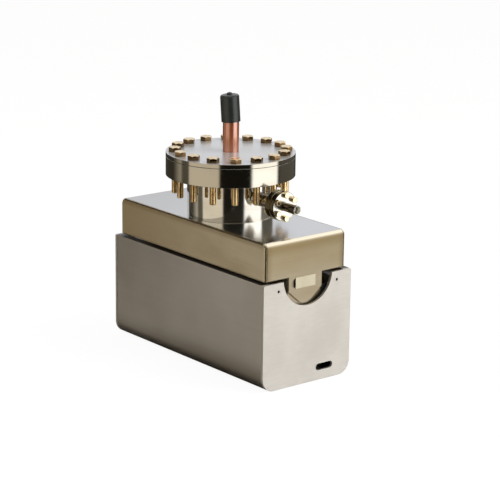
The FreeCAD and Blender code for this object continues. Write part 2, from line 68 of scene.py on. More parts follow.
# Node networks
class Tone:
    """One value in a network. Arithmetic on it adds Math nodes."""

    def __init__(self, network, socket):
        self.network = network
        self.socket = socket

    def math(self, operation, first, second=0.0):
        return self.network.node(
            "ShaderNodeMath", {"operation": operation}, {0: first, 1: second})

    def __add__(self, other):
        return self.math("ADD", self, other)

    def __radd__(self, other):
        return self.math("ADD", other, self)

    def __sub__(self, other):
        return self.math("SUBTRACT", self, other)

    def __rsub__(self, other):
        return self.math("SUBTRACT", other, self)

    def __mul__(self, other):
        return self.math("MULTIPLY", self, other)

    def __rmul__(self, other):
        return self.math("MULTIPLY", other, self)

    def __pow__(self, other):
        return self.math("POWER", self, other)

    def __abs__(self):
        return self.math("ABSOLUTE", self)


class Network:
    """The nodes of one material or of the world."""

    def __init__(self, tree):
        self.tree = tree
        tree.nodes.clear()

    def feed(self, socket, value):
        if isinstance(value, Tone):
            self.tree.links.new(value.socket, socket)
        else:
            socket.default_value = value

    def node(self, kind, settings, sockets, output=0):
        """Makes a node: first its settings, then the values or links of its sockets."""
        made = self.tree.nodes.new(kind)
        for setting, value in settings.items():
            setattr(made, setting, value)
        for place, value in sockets.items():
            self.feed(made.inputs[place], value)
        return Tone(self, made.outputs[output]) if len(made.outputs) else None

    def mix(self, share, first, second):
        """The first colour at a share of 0, the second at 1. Sockets 6 and 7 take the colours."""
        return self.node(
            "ShaderNodeMix", {"data_type": "RGBA"}, {0: share, 6: first, 7: second}, output=2)

    def step(self, value, low, high):
        """0 below low, 1 above high, smooth between."""
        return self.node(
            "ShaderNodeMapRange", {"interpolation_type": "SMOOTHSTEP"},
            {"Value": value, "From Min": low, "From Max": high})

    def part_of(self, vector, axis):
        return self.node("ShaderNodeSeparateXYZ", {}, {0: vector}, output=axis)

    def place(self, scale=(1, 1, 1)):
        """The point on the piece, in metres of its own frame, stretched by a scale."""
        point = self.node("ShaderNodeTexCoord", {}, {}, output="Object")
        return self.node(
            "ShaderNodeVectorMath", {"operation": "MULTIPLY"}, {0: point, 1: scale})

    def facing(self, axis):
        """How far the piece's own surface faces along an axis, from -1 to 1."""
        return self.part_of(self.node("ShaderNodeTexCoord", {}, {}, output="Normal"), axis)

    def noise(self, place, size, detail, rough):
        """Cloudy values near 0.5. Size is in cycles for one unit of the place."""
        return self.node(
            "ShaderNodeTexNoise", {},
            {"Vector": place, "Scale": size, "Detail": detail, "Roughness": rough})


def off_axis(across, depth):
    """The distance from an axis, out of the two directions square to it."""
    return (across * across + depth * depth) ** 0.5


def display(red, green, blue):
    """A colour as it is read on a screen, 0 to 255, in the linear form that a shader takes."""
    def linear(value):
        share = value / 255
        return share / 12.92 if share <= 0.04045 else ((share + 0.055) / 1.055) ** 2.4
    return (linear(red), linear(green), linear(blue), 1.0)


class Finish(Network):
    """A surface finish: a material with one main shader."""

    def __init__(self, name):
        self.material = bpy.data.materials.new(name)
        self.material.use_nodes = True
        super().__init__(self.material.node_tree)

    def height(self):
        return self.part_of(self.place(), 2)

    def near_end(self):
        """Near 0 at the pump's far end, 1 at the end with the tag."""
        return self.step(self.part_of(self.place(), 0), DARK_END, PALE_END)

    def turned_place(self, scale):
        """Radius and height on a piece turned about Z, so that a pattern runs round it."""
        point = self.place()
        radius = off_axis(self.part_of(point, 0), self.part_of(point, 1))
        return self.node(
            "ShaderNodeCombineXYZ", {},
            {0: radius * scale, 1: self.part_of(point, 2) * scale, 2: 0.0})

    def eased_normal(self, radius):
        """The normal of the surface with its edges slightly rounded."""
        return self.node("ShaderNodeBevel", {"samples": 6}, {"Radius": radius})

    def edge_mask(self, radius):
        """1 along the edges, where the rounded normal leaves the flat one, and 0 on the flats."""
        flat = self.node("ShaderNodeNewGeometry", {}, {}, output="Normal")
        same = self.node(
            "ShaderNodeVectorMath", {"operation": "DOT_PRODUCT"},
            {0: flat, 1: self.eased_normal(radius)}, output="Value")
        return self.step(1.0 - same, 0.004, 0.08)

    def bump(self, height, distance, strength, normal=None):
        sockets = {"Height": height, "Distance": distance, "Strength": strength}
        if normal is not None:
            sockets["Normal"] = normal
        return self.node("ShaderNodeBump", {}, sockets)

    def shade(self, color, roughness, normal, metallic=1.0, film=None):
        sockets = {"Base Color": color, "Roughness": roughness, "Metallic": metallic}
        sockets.update(film or {})
        sockets["Normal"] = normal
        surface = self.node("ShaderNodeBsdfPrincipled", {}, sockets)
        self.node("ShaderNodeOutputMaterial", {}, {"Surface": surface})
        return self.material


# Finishes
def trough_painted_shade(finish, color, painted_shade_color):
    """Paints shade on the trough: darker to its foot and far end, and a painted shadow almost to
    black where it faces up under the box.
    """
    near = finish.near_end()
    far = 1.0 - near
    height = finish.height()
    # Painted shade: darker toward the foot and toward the far end.
    lower = 1.0 - finish.step(height, 20 * MM, 110 * MM)
    above_foot = finish.step(height + far * far * (12 * MM), -2 * MM, 44 * MM)
    unshaded = above_foot * (near * 0.4 + 0.6 + far * lower * 0.2)
    color = finish.mix(unshaded, painted_shade_color, color)
    # Painted shadow: faces that look up, in the gap under the box, go almost black.
    in_gap = finish.step(finish.facing(2), 0.8, 0.98)
    return finish.mix(in_gap * 0.9, color, display(30, 27, 21))


def rolled_steel(name, base, shade, roughness, stretch, grain, ease, metallic=1.0, painted_shade_color=None):
    """Sheet or plate steel with a drawn grain, a cloudy tone and a painted highlight along the
    edges.

    On the trough, painted shade darkens the colour, and the painted edge highlight is then only
    its base colour.
    """
    finish = Finish(name)
    lines = finish.noise(finish.place(stretch), 1.0, 4.0, 0.6)
    cloud = finish.noise(finish.place(), 14.0, 3.0, 0.5)
    fine = finish.noise(finish.place(), 900.0, 2.0, 0.6)
    edge = finish.edge_mask(ease)
    tone = finish.step(cloud * 0.75 + lines * 0.25, 0.36, 0.64)
    color = finish.mix(tone * 0.5, base, shade)
    # Painted highlight along the edges.
    bright = display(240, 234, 222)
    if painted_shade_color is not None:
        color = trough_painted_shade(finish, color, painted_shade_color)
        bright = base
    color = finish.mix(edge * 0.35, color, bright)
    rough = roughness + (lines - 0.5) * 0.14 + (cloud - 0.5) * 0.10 - edge * 0.06
    normal = finish.bump(
        lines * 0.8 + fine * 0.2, 0.06 * MM, grain, finish.eased_normal(ease))
    return finish.shade(color, rough, normal, metallic)


def box_sheet():
    """The box's sheet: flat sides brushed satin, bends and top buffed almost to a mirror. Sides,
    end, top and bends take their own colours by facing, and tones along the pump: painted light
    and shade.
    """
    finish = Finish("box_steel")
    upward = finish.step(finish.facing(2), 0.93, 0.995)
    endward = finish.step(abs(finish.facing(0)), 0.72, 0.999)
    sideward = finish.step(abs(finish.facing(1)), 0.93, 0.995)
    satin = sideward + endward
    near = finish.near_end()
    rise = finish.height()
    lines = finish.noise(finish.place((16, 16, 1300)), 1.0, 4.0, 0.6)
    cloud = finish.noise(finish.place((1, 1, 2.2)), 11.0, 3.0, 0.5)
    smear = finish.noise(finish.place((1, 2.4, 1)), 34.0, 4.0, 0.6)
    tone = finish.step(cloud * 0.8 + lines * 0.2, 0.34, 0.68)

    # Painted light and shade on the sides: a colour of their own, paler toward the tagged end.
    side = finish.mix(near, display(206, 189, 158), display(246, 233, 204))
    side = finish.mix(tone * 0.6, side, display(204, 184, 144))
    # Painted shade: a dark band just under the top bend.
    under_bend = finish.step(rise, BOX_TOP - 9 * MM, BOX_TOP - 2 * MM)
    side = finish.mix(under_bend * 0.5, side, display(150, 124, 80))

    # The end face takes its own darker colour, a painted shade, paler on the tongue below.
    tongue = 1.0 - finish.step(rise, 110 * MM, 150 * MM)
    end = finish.mix(tongue, display(149, 136, 109), display(161, 151, 130))
    end = finish.mix(tone * 0.45, end, display(138, 118, 84))
    # Painted shade: a dark band under the top bend of the end face.
    under_bend = finish.step(rise, BOX_TOP - 20 * MM, BOX_TOP - 7 * MM)
    end = finish.mix(under_bend * 0.6, end, display(124, 106, 70))
    # Painted shade toward the end face's vertical edges, standing in for the rounded corners.
    from_middle = abs(finish.part_of(finish.place(), 1))
    corner = finish.step(from_middle, BOX_HALF_WIDTH - 9 * MM, BOX_HALF_WIDTH)
    end = finish.mix(corner * 0.55, end, display(120, 102, 74))

    # Painted light on the top: a colour of its own, paler toward the tagged end.
    top = finish.mix(near, display(196, 195, 192), display(217, 217, 215))
    long_edge = finish.step(abs(finish.facing(1)), 0.2, 0.5)
    # The bends take a pale cream, a painted highlight, browner on the long edges.
    bend = finish.mix(long_edge, display(236, 229, 214), display(224, 208, 174))
    bend = finish.mix(upward, bend, top)
    color = finish.mix(endward, finish.mix(sideward, bend, side), end)

    buffed = 0.145 + smear * 0.07
    brushed = 0.175 + endward * 0.05 + lines * 0.10 - smear * 0.07
    normal = finish.bump(lines * satin, 0.04 * MM, 0.25, finish.eased_normal(1.3 * MM))
    return finish.shade(color, buffed + satin * brushed, normal, 1.0 - sideward * 0.07)


def turned_steel(name, base, shade, roughness):
    """Steel polished on a lathe. Faces that look up are duller, with rings from the tool."""
    face_roughness, ease = 0.30, 0.5 * MM
    finish = Finish(name)
    rings = finish.noise(finish.turned_place(2600.0), 1.0, 2.0, 0.5)
    smear = finish.noise(finish.place((1, 1, 3)), 22.0, 3.0, 0.55)
    upward = finish.step(finish.facing(2), 0.9, 0.99)
    edge = finish.edge_mask(ease)
    color = finish.mix(finish.step(smear, 0.42, 0.72) * 0.6, base, shade)
    color = finish.mix(upward, color, display(202, 203, 203))
    # Painted highlight along the edges.
    color = finish.mix(edge * 0.3, color, display(242, 238, 230))
    duller = upward * (face_roughness - roughness)
    rough = roughness + duller + (smear - 0.5) * 0.05 + (rings - 0.5) * 0.03
    normal = finish.bump(rings, 0.03 * MM, 0.2, finish.eased_normal(ease))
    return finish.shade(color, rough, normal, 1.0 - upward * 0.3)


def port_disc_steel():
    """The port's turned discs: faces pale and rims dark brown by facing, a painted light and
    shade.
    """
    finish = Finish("port_disc_steel")
    rings = finish.noise(finish.place((2600, 2600, 2600)), 1.0, 2.0, 0.5)
    cloud = finish.noise(finish.place(), 90.0, 3.0, 0.55)
    face = finish.step(abs(finish.facing(0)), 0.75, 0.98)
    # Painted shade: the rims dark brown, the faces pale.
    rim = finish.mix(cloud * 0.6, display(128, 118, 92), display(92, 82, 58))
    color = finish.mix(face, rim, display(226, 221, 208))
    rough = 0.15 + face * 0.10 + (cloud - 0.5) * 0.08
    normal = finish.bump(rings, 0.03 * MM, 0.2, finish.eased_normal(0.3 * MM))
    return finish.shade(color, rough, normal)


def sleeve_steel():
    """The connector's sleeve: dark and oiled outside, bare and bright in its bore and rim."""
    bore_edge, dark_edge = 4.95 * MM, 5.15 * MM
    finish = Finish("sleeve_steel")
    across = finish.part_of(finish.place(), 1)
    radius = off_axis(across, finish.height() - PORT_HEIGHT)
    smear = finish.noise(finish.place((0.4, 1, 1)), 240.0, 3.0, 0.6)
    bare = 1.0 - finish.step(radius, bore_edge, dark_edge)
    color = finish.mix(smear, display(132, 124, 106), display(92, 84, 66))
    color = finish.mix(bare, color, display(224, 220, 208))
    rough = 0.18 + (smear - 0.5) * 0.10 + bare * 0.12
    normal = finish.bump(smear, 0.03 * MM, 0.2, finish.eased_normal(0.3 * MM))
    return finish.shade(color, rough, normal, 1.0 - bare * 0.4)


def plated_steel():
    """Yellow-brown plating on fasteners, with a painted highlight on the edges and painted shade
    on the cover bolts' head flanks.
    """
    finish = Finish("bolt_bronze")
    cloud = finish.noise(finish.place(), 160.0, 3.0, 0.6)
    fine = finish.noise(finish.place(), 1500.0, 2.0, 0.5)
    edge = finish.edge_mask(0.4 * MM)
    stained = finish.step(cloud, 0.38, 0.75)
    color = finish.mix(stained * 0.8, display(252, 232, 192), display(218, 184, 132))
    on_head = finish.step(finish.height(), COVER_TOP - 0.21 * MM, COVER_TOP + 0.19 * MM)
    # Painted shade on the flanks of the cover bolts' heads.
    flank = on_head * (1.0 - finish.step(finish.facing(2), 0.2, 0.7))
    color = finish.mix(flank * 0.9, color, display(104, 74, 40))
    # Painted highlight along the edges.
    color = finish.mix(edge * 0.5, color, display(250, 232, 198))
    rough = 0.21 + (cloud - 0.5) * 0.16 + (fine - 0.5) * 0.08
    return finish.shade(color, rough, finish.bump(fine, 0.03 * MM, 0.4))


def socket_screw_steel():
    """Screw heads rubbed like the plate round them, with painted shade in the sockets."""
    finish = Finish("screw_steel")
    marks = finish.noise(finish.place((300, 300, 300)), 1.0, 4.0, 0.6)
    from_middle = abs(finish.part_of(finish.place(), 0))
    open_face = finish.step(from_middle, PLATE_FACE - 0.70 * MM, PLATE_FACE - 0.15 * MM)
    color = finish.mix(marks * 0.4, display(198, 193, 185), display(180, 174, 165))
    # Painted shade: the sockets below the head's face go near black.
    color = finish.mix(open_face, display(16, 15, 13), color)
    rough = 0.46 + (marks - 0.5) * 0.16
    return finish.shade(color, rough, finish.bump(marks, 0.04 * MM, 0.3), open_face * 0.85)


def drawn_copper():
    """Warm drawn copper, lines along the tube and stains, under a thin clear film of oxide."""
    finish = Finish("drawn_copper")
    lines = finish.noise(finish.place((700, 700, 14)), 1.0, 3.0, 0.6)
    stain = finish.noise(finish.place((1, 1, 0.5)), 60.0, 4.0, 0.6)
    stained = finish.step(stain, 0.42, 0.76)
    color = finish.mix(stained * 0.55, display(196, 110, 66), display(156, 80, 46))
    rough = 0.36 + (stain - 0.5) * 0.12 + (lines - 0.5) * 0.08
    film = {"Coat Weight": 1.0, "Coat Roughness": 0.14, "Coat IOR": 2.5}
    return finish.shade(color, rough, finish.bump(lines, 0.03 * MM, 0.45), 0.70, film)


def moulded_vinyl():
    """Soft black cap: matt with a faint sheen, pulled marks and dust."""
    finish = Finish("moulded_vinyl")
    pull = finish.noise(finish.place((240, 240, 30)), 1.0, 3.0, 0.6)
    grain = finish.noise(finish.place(), 1300.0, 2.0, 0.6)
    dust = finish.noise(finish.place(), 120.0, 4.0, 0.7)
    dusty = finish.step(dust, 0.5, 0.85)
    color = finish.mix(dusty * 0.4, display(30, 33, 31), display(70, 73, 69))
    rough = 0.31 + (pull - 0.5) * 0.2 + (grain - 0.5) * 0.1
    normal = finish.bump(pull * 0.6 + grain * 0.4, 0.12 * MM, 0.5)
    return finish.shade(color, rough, normal, metallic=0.0)


def tag_enamel():
    """Thin satin enamel with a faint orange-peel skin."""
    finish = Finish("tag_cream")
    peel = finish.noise(finish.place(), 700.0, 2.0, 0.5)
    cloud = finish.noise(finish.place(), 60.0, 3.0, 0.5)
    edge = finish.edge_mask(0.3 * MM)
    color = finish.mix(
        finish.step(cloud, 0.35, 0.7), display(174, 166, 143), display(166, 156, 131))
    color = finish.mix(edge * 0.5, color, display(150, 140, 118))
    rough = 0.38 + (cloud - 0.5) * 0.15
    normal = finish.bump(peel, 0.05 * MM, 0.4, finish.eased_normal(0.3 * MM))
    return finish.shade(color, rough, normal, metallic=0.0)


def fired_ceramic(name, base, speck, grain_size):
    """Fired white or black ceramic with a fine grain and specks."""
    finish = Finish(name)
    grain = finish.noise(finish.place(), grain_size, 4.0, 0.7)
    color = finish.mix(finish.step(grain, 0.45, 0.75), base, speck)
    rough = 0.55 + (grain - 0.5) * 0.2
    return finish.shade(color, rough, finish.bump(grain, 0.1 * MM, 0.4), metallic=0.0)


# One finish for each material slot. A stretch is the grain's cycles for a metre, along X, Y and Z
FINISHES = {
    # The trough's last colour is its painted shade.
    "trough_steel": rolled_steel(
        "trough_steel", display(192, 185, 176), display(178, 170, 160), roughness=0.36,
        stretch=(5, 400, 400), grain=0.10, ease=0.6 * MM, metallic=0.8,
        painted_shade_color=display(92, 84, 70)),
    "plate_steel": rolled_steel(
        "plate_steel", display(198, 193, 185), display(184, 178, 168), roughness=0.46,
        stretch=(400, 60, 400), grain=0.10, ease=0.4 * MM, metallic=0.85),
    "screw_steel": socket_screw_steel(),
    "box_steel": box_sheet(),
    "polished_steel": turned_steel(
        "polished_steel", display(226, 222, 212), display(210, 204, 192), roughness=0.08),
    "bolt_bronze": plated_steel(),
    "shell_dark": sleeve_steel(),
    "element_steel": rolled_steel(
        "element_steel", display(208, 208, 206), display(180, 178, 174), roughness=0.32,
        stretch=(200, 40, 200), grain=0.3, ease=0.3 * MM),
    "ferrite": fired_ceramic("ferrite", display(42, 42, 44), display(64, 62, 60), 420.0),
    "bar_aluminium": rolled_steel(
        "bar_aluminium", display(216, 216, 214), display(196, 196, 192), roughness=0.38,
        stretch=(12, 400, 400), grain=0.35, ease=0.5 * MM),
    "tag_cream": tag_enamel(),
    "copper": drawn_copper(),
    "cap_vinyl": moulded_vinyl(),
    "alumina": fired_ceramic("alumina", display(240, 238, 230), display(222, 218, 206), 600.0),
    "titanium": rolled_steel(
        "titanium", display(176, 173, 168), display(150, 147, 142), roughness=0.42,
        stretch=(10, 300, 300), grain=0.4, ease=0.4 * MM),
}
PORT_DISC_FINISH = port_disc_steel()
# The flange and cover take a darker, browner copy of the polished steel: a painted shade.
FLANGE_FINISH = turned_steel(
    "flange_steel", display(192, 186, 172), display(178, 171, 154), roughness=0.10)
NECK_FINISH = turned_steel(
    "neck_steel", display(226, 222, 212), display(210, 204, 192), roughness=0.10)

SLOT_OF = {part["node"]: part["material_slot"] for part in frame["record"]["subparts"]}
NODE_FINISHES = {node: FINISHES[slot] for node, slot in SLOT_OF.items()}
NODE_FINISHES.update(main_flange=FLANGE_FINISH, blank_cover=FLANGE_FINISH)
for node, piece in frame["nodes"].items():
    for holder in piece.material_slots:
        holder.material = NODE_FINISHES[node]


# Floor, light and camera
def pale_floor():
    """Matt white. The eye sees it mostly lit from within, which leaves only a light shadow."""
    finish = Finish("pale_floor")
    glow_share = 0.93
    seen = finish.node("ShaderNodeLightPath", {}, {}, output="Is Camera Ray") * glow_share
    paper = finish.node("ShaderNodeBsdfDiffuse", {}, {"Color": (0.92, 0.92, 0.915, 1)})
    glow = finish.node("ShaderNodeEmission", {}, {"Color": WHITE, "Strength": 1.0})
    surface = finish.node("ShaderNodeMixShader", {}, {0: seen, 1: paper, 2: glow})
    finish.node("ShaderNodeOutputMaterial", {}, {"Surface": surface})
    return finish.material


def stage_floor():
    reach = 14.0
    corners = [(-reach, -reach, 0), (reach, -reach, 0), (reach, reach, 0), (-reach, reach, 0)]
    mesh = bpy.data.meshes.new("floor")
    mesh.from_pydata(corners, [], [(0, 1, 2, 3)])
    floor = bpy.data.objects.new("floor", mesh)
    bpy.context.scene.collection.objects.link(floor)
    mesh.materials.append(pale_floor())
    floor.visible_glossy = False


def studio_world():
    """White to the eye. Metal sees a room of pale and dark screens, by heading and height.

    Headings are in degrees from +X toward +Y. Heights run from -1 below to 1 above.
    """
    world = bpy.data.worlds.new("studio")
    bpy.context.scene.world = world
    world.use_nodes = True
    net = Network(world.node_tree)
    direction = net.node("ShaderNodeTexCoord", {}, {}, output="Generated")
    height = net.part_of(direction, 2)
    heading = net.node(
        "ShaderNodeMath", {"operation": "ARCTAN2"},
        {0: net.part_of(direction, 1), 1: net.part_of(direction, 0)})

    def past(start, end):
        """0 before one heading, 1 after another."""
        return net.step(heading, math.radians(start), math.radians(end))

    def sector(start, end, soft=5.0):
        """1 between two headings, with soft borders."""
        return past(start - soft / 2, start + soft / 2) - past(end - soft / 2, end + soft / 2)

    pale = (0.80, 0.81, 0.85, 1)
    grey = net.mix(past(-162, -131), (0.05, 0.046, 0.036, 1), (0.49, 0.445, 0.37, 1))
    grey = net.mix(past(-139, -131), grey, (0.12, 0.108, 0.085, 1))
    back_wall = net.mix(net.step(height, -0.10, 0.12), (0.06, 0.055, 0.045, 1), pale)
    eye_level = (0.012, 0.011, 0.008, 1)
    for mask, color in (
            (sector(-190, -118.5), grey),
            (sector(178, 190), (0.07, 0.065, 0.052, 1)),
            (sector(-117, -58), (0.82, 0.74, 0.61, 1)),
            (sector(58, 118, 8), (0.12, 0.113, 0.097, 1)),
            (sector(0, 53, 7), (2.05, 2.06, 2.08, 1)),
            (sector(116, 178, 10), back_wall)):
        eye_level = net.mix(mask, eye_level, color)

    overhead = net.mix(sector(8, 200, 16), (0.06, 0.05, 0.04, 1), pale)
    overhead = net.mix(sector(20, 118, 24), overhead, (1.45, 1.36, 1.22, 1))
    overhead = net.mix(net.step(height, 0.66, 0.92), overhead, (0.85, 0.83, 0.80, 1))
    room = net.mix(net.step(height, 0.35, 0.48), eye_level, overhead)
    room = net.mix(net.step(height, -0.62, -0.36), (0.02, 0.018, 0.015, 1), room)

    camera_ray = net.node("ShaderNodeLightPath", {}, {}, output="Is Camera Ray")
    room_light = net.node("ShaderNodeBackground", {}, {"Color": room, "Strength": 1.0})
    white = net.node("ShaderNodeBackground", {}, {"Color": WHITE, "Strength": 1.0})
    shown = net.node("ShaderNodeMixShader", {}, {0: camera_ray, 1: room_light, 2: white})
    net.node("ShaderNodeOutputWorld", {}, {"Surface": shown})


def softbox(name, heading, height, distance, width, power, color):
    """A square lamp that looks at the middle of the pump. Its angles are in degrees."""
    lamp = bpy.data.lights.new(name, "AREA")
    lamp.shape = "SQUARE"
    lamp.size = width
    lamp.energy = power
    lamp.color = color
    holder = bpy.data.objects.new(name, lamp)
    bpy.context.scene.collection.objects.link(holder)
    turn, rise = math.radians(heading), math.radians(height)
    away = Vector((
        math.cos(turn) * math.cos(rise), math.sin(turn) * math.cos(rise), math.sin(rise)))
    middle = Vector((0, 0, 130 * MM))
    holder.location = away * distance + middle
    holder.rotation_mode = "QUATERNION"
    holder.rotation_quaternion = away.to_track_quat("Z", "Y")
    holder.visible_glossy = False


def photo_camera():
    """The camera that was solved from the photograph, with its sensor and lens in millimetres."""
    camera = bpy.data.cameras.new("camera")
    camera.sensor_width = 36.0
    camera.lens = 141.57
    camera.clip_end = 100.0
    holder = bpy.data.objects.new("camera", camera)
    bpy.context.scene.collection.objects.link(holder)
    right = Vector((0.62694, 0.77898, 0.01193))
    up = Vector((-0.21041, 0.15456, 0.96532))
    back = Vector((0.75012, -0.60770, 0.26080))
    pose = Matrix((right, up, back)).transposed().to_4x4()
    pose.translation = Vector((1.75573, -1.39169, 0.73141))
    holder.matrix_world = pose
    bpy.context.scene.camera = holder


stage_floor()
studio_world()
softbox("key", heading=38, height=48, distance=2.2, width=1.3, power=40.0,
        color=(1.0, 0.98, 0.95))
softbox("fill", heading=-125, height=40, distance=2.4, width=1.6, power=22.0,
        color=(0.97, 0.98, 1.0))
softbox("side", heading=-62, height=24, distance=0.95, width=0.3, power=2.6,
        color=(1.0, 0.98, 0.96))
photo_camera()
bpy.context.scene.view_settings.view_transform = "Standard"


# Mesh building
def circle(radius, sides):
    """A radius for every step round a turned piece."""
    return [radius] * sides


def turns(count):
    """The angles of equal steps round a full turn."""
    return [2 * math.pi * k / count for k in range(count)]


def hexagon_reach(flats, sides):
    """The distance from the middle to a hexagon's side, for every step round."""
    sixth = math.pi / 3
    return [flats / 2 / math.cos(turn % sixth - sixth / 2) for turn in turns(sides)]


def ring_points(radii, height):
    """A ring of points at a height, one for each radius."""
    return [
        Vector((radius * math.cos(turn), radius * math.sin(turn), height))
        for radius, turn in zip(radii, turns(len(radii)))
    ]


class Build:
    """Collects the points and faces of one piece."""

    def __init__(self):
        self.points = []
        self.faces = []

    def skin(self, rings, place=Matrix.Identity(4), loop=False):
        """Joins each ring of points to the next.

        The two ends are filled, or in a loop the last ring joins the first.
        """
        start = len(self.points)
        count = len(rings[0])
        for ring in rings:
            self.points.extend(place @ point for point in ring)
        spans = len(rings) if loop else len(rings) - 1
        for row in range(spans):
            low = start + row * count
            high = start + (row + 1) % len(rings) * count
            for k in range(count):
                after = (k + 1) % count
                self.faces.append((low + k, low + after, high + after, high + k))
        if not loop:
            self.faces.append(tuple(start + k for k in reversed(range(count))))
            last = start + (len(rings) - 1) * count
            self.faces.append(tuple(last + k for k in range(count)))

    def piece(self, name, body, slot, replaced=(), sharp=32.0, finish=None):
        """Makes the piece. Edges that turn by more than sharp, in degrees, stay sharp."""
        mesh = bpy.data.meshes.new(name)
        mesh.from_pydata([tuple(p) for p in self.points], [], self.faces)
        mesh.validate()
        mesh.materials.append(finish or FINISHES[slot])
        mesh.shade_smooth()
        mesh.set_sharp_from_angle(angle=math.radians(sharp))
        made = bpy.data.objects.new(name, mesh)
        bpy.context.scene.collection.objects.link(made)
        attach(made, body)
        if replaced:
            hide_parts(*replaced)


def eased(outline, radius, closed=True):
    """A line of (radius, height) points with its corners rounded."""
    steps, most_of_side = 4, 0.45
    rounded = []
    count = len(outline)
    for k in range(count):
        corner = Vector(outline[k])
        if not closed and k in (0, count - 1):
            rounded.append(corner)
            continue
        before = Vector(outline[k - 1]) - corner
        after = Vector(outline[(k + 1) % count]) - corner
        reach = min(radius, before.length * most_of_side, after.length * most_of_side)
        start = corner + before.normalized() * reach
        end = corner + after.normalized() * reach
        for step in range(steps + 1):
            share = step / steps
            rounded.append(
                start * (1 - share) ** 2 + corner * 2 * share * (1 - share) + end * share ** 2)
    return rounded


def rings_of(line, sides):
    """A ring of points for each (radius, height) of a line."""
    return [ring_points(circle(radius, sides), height) for radius, height in line]


def turned_ring(build, outline, ease, sides, place=Matrix.Identity(4)):
    """A ring turned from a closed outline that stays off the axis."""
    build.skin(rings_of(eased(outline, ease), sides), place, loop=True)


def weld_bead(build, path, radius):
    """A rippled bead along a closed path of points, with a ripple to every four of them."""
    ripple, swell, uneven, sides = 4, 0.12, 0.04, 8
    count = len(path)
    rings = []
    for k in range(count):
        along = (path[(k + 1) % count] - path[k - 1]).normalized()
        upright = Vector((0, 0, 1)) if abs(along.z) < 0.9 else Vector((1, 0, 0))
        side = along.cross(upright).normalized()
        over = side.cross(along)
        size = radius * (1 + swell * math.sin(2 * math.pi * k / ripple))
        size *= random.uniform(1 - uneven, 1 + uneven)
        rings.append([
            path[k] + (side * math.cos(turn) + over * math.sin(turn)) * size
            for turn in turns(sides)])
    build.skin(rings, loop=True)


def any_turn():
    """A turn about its own axis, by chance, for a piece with a hexagon."""
    return Matrix.Rotation(random.uniform(0, math.pi / 3), 4, "Z")


# Bolts and nuts
def hex_head_rings(flats, height, sides):
    """Rings up a hexagon head whose top corners are turned off at 30 degrees."""
    corner, face, foot_limit = flats / math.sqrt(3), flats / 2 * 0.95, flats / 2 * 1.14
    foot_height, dish = height * 0.04, 0.18 * MM
    slope = math.tan(math.radians(30))
    fall = (corner - face) * slope
    hexagon = hexagon_reach(flats, sides)
    rings = [
        ring_points([reach * 0.985 for reach in hexagon], 0),
        ring_points([min(reach, foot_limit) for reach in hexagon], foot_height)]
    for share in (0.0, 0.25, 0.5, 0.75, 1.0):
        level = height - fall * (1 - share)
        limit = face + (height - level) / slope
        rings.append(ring_points([min(reach, limit) for reach in hexagon], level))
    return rings + rings_of([(face * 0.93, height), (face * 0.90, height - dish)], sides)


def thread_rings(radius, pitch, start, end, sides):
    """Rings down a threaded shank from one height to another. Crests and roots are flat."""
    depth, rings_to_a_turn = pitch * 0.5, 4
    rings = []
    count = max(2, round((start - end) / pitch * rings_to_a_turn))
    for row in range(count + 1):
        level = start + (end - start) * row / count
        radii = []
        for k in range(sides):
            phase = (level / pitch + k / sides) % 1.0
            groove = abs(phase * 2 - 1) * 1.25 - 0.12
            radii.append(radius - depth * min(1.0, max(0.0, groove)))
        rings.append(ring_points(radii, level))
    return rings


def hex_bolt(build, place, flats, head, radius, length, thread_length, pitch):
    """A bolt with its head above z = 0 and its threaded end below.

    Its rings run down from the head, so a mirror turns their faces outward.
    """
    sides = 36
    head_rings = hex_head_rings(flats, head, sides)
    thread_start = thread_length - length
    shank = rings_of([(radius, 0), (radius, thread_start + radius * 0.2)], sides)
    thread = thread_rings(radius, pitch, thread_start, radius * 0.22 - length, sides)
    tip = rings_of([
        (radius * 0.86, radius * 0.12 - length), (radius * 0.76, radius * 0.02 - length),
        (radius * 0.68, -length)], sides)
    rings = list(reversed(head_rings)) + shank + thread + tip
    build.skin(rings, place @ Matrix.Scale(-1, 4, (1, 0, 0)))


def cover_bolts():
    count, circle_radius = 16, 65.1 * MM
    low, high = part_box("cover_bolts")
    build = Build()
    for index in range(count):
        turn = Matrix.Rotation(math.radians(360 / count * (index + 0.5)), 4, "Z")
        seat = Matrix.Translation((circle_radius, 0, COVER_TOP))
        hex_bolt(
            build, turn @ seat @ any_turn(), flats=12.7 * MM, head=high.z - COVER_TOP,
            radius=3.97 * MM, length=COVER_TOP - low.z, thread_length=26 * MM, pitch=1.06 * MM)
    build.piece("cover_bolt_set", "pump_body", "bolt_bronze", ["cover_bolts"])


def hex_nut(build, place, flats, back, front, bore):
    """A nut with both faces turned off at the corners and a round bore."""
    sides = 48
    height = front - back
    upper = [[Vector((p.x, p.y, p.z * 0.5 + height * 0.5)) for p in ring]
             for ring in hex_head_rings(flats, height, sides)[1:-1]]
    lower = [[Vector((p.x, p.y, height - p.z)) for p in ring] for ring in reversed(upper)]
    hole = rings_of([(bore, height), (bore, 0)], sides)
    rings = [[p + Vector((0, 0, back)) for p in ring] for ring in lower + upper + hole]
    build.skin(rings, place, loop=True)


